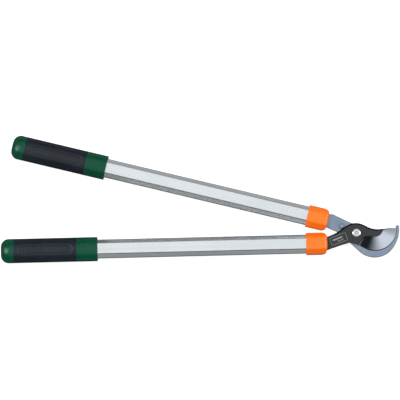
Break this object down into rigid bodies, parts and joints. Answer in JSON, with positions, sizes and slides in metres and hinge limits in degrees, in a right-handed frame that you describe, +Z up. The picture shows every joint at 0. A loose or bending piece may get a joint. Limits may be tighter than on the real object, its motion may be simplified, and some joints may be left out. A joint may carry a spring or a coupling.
{
  "type": "bypass loppers",
  "caption": "Long-handled bypass loppers: a round-edged cutting blade passes a curved hook blade, on two aluminium tube handles with oval grips.",
  "frame": {"origin": "on the pivot axis, at the surface the loppers lie on; the end face of the pivot bolt is in it", "axes": "+X from the pivot towards the blade tip, along the handle that carries the cutting blade; +Z up, from the nut side to the bolt-head side; the hook's handle lies on the +Y side"},
  "size_m": [0.7009, 0.2308, 0.028],
  "materials": {
    "coated_blade": "dark non-stick coating, polished on the bevel",
    "hook_steel": "zinc-plated, satin",
    "bronze": "sintered, dull",
    "nickel_plate": "nickel-plated, bright",
    "nut_steel": "zinc-plated",
    "spring_steel": "phosphated, dark",
    "rivet_steel": "zinc-plated",
    "nylon": "satin",
    "acetal": "matt",
    "handle_aluminium": "drawn and anodised, satin",
    "orange_plastic": "moulded, satin sheen",
    "green_plastic": "moulded, satin sheen",
    "grip_rubber": "soft-touch, matt",
    "filler_plastic": "glass-filled nylon, matt"
  },
  "bodies": {
    "blade_arm": {"cutting_blade": "coated_blade", "blade_bush": "bronze", "cutter_tube": "handle_aluminium", "cutter_collar": "orange_plastic", "cutter_tang_insert_upper": "filler_plastic", "cutter_tang_insert_lower": "filler_plastic", "cutter_tang_rivets": "rivet_steel", "cutter_grip_core": "green_plastic", "cutter_grip_sleeve": "grip_rubber"},
    "hook_arm": {"hook_blade": "hook_steel", "stop_stud": "hook_steel", "pivot_bolt": "nickel_plate", "pivot_nut": "nut_steel", "nut_ring": "nylon", "flat_washer": "nut_steel", "spring_washer": "spring_steel", "glide_washer": "acetal", "hook_tube": "handle_aluminium", "hook_collar": "orange_plastic", "hook_tang_insert_upper": "filler_plastic", "hook_tang_insert_lower": "filler_plastic", "hook_tang_rivets": "rivet_steel", "hook_grip_core": "green_plastic", "hook_grip_sleeve": "grip_rubber"}
  },
  "joints": [
    {"name": "pivot_hinge", "type": "hinge", "parent": "blade_arm", "child": "hook_arm", "pos_m": [0, 0, 0.0161], "axis": [0, 0, -1], "range_deg": [0, 104]}
  ]
}
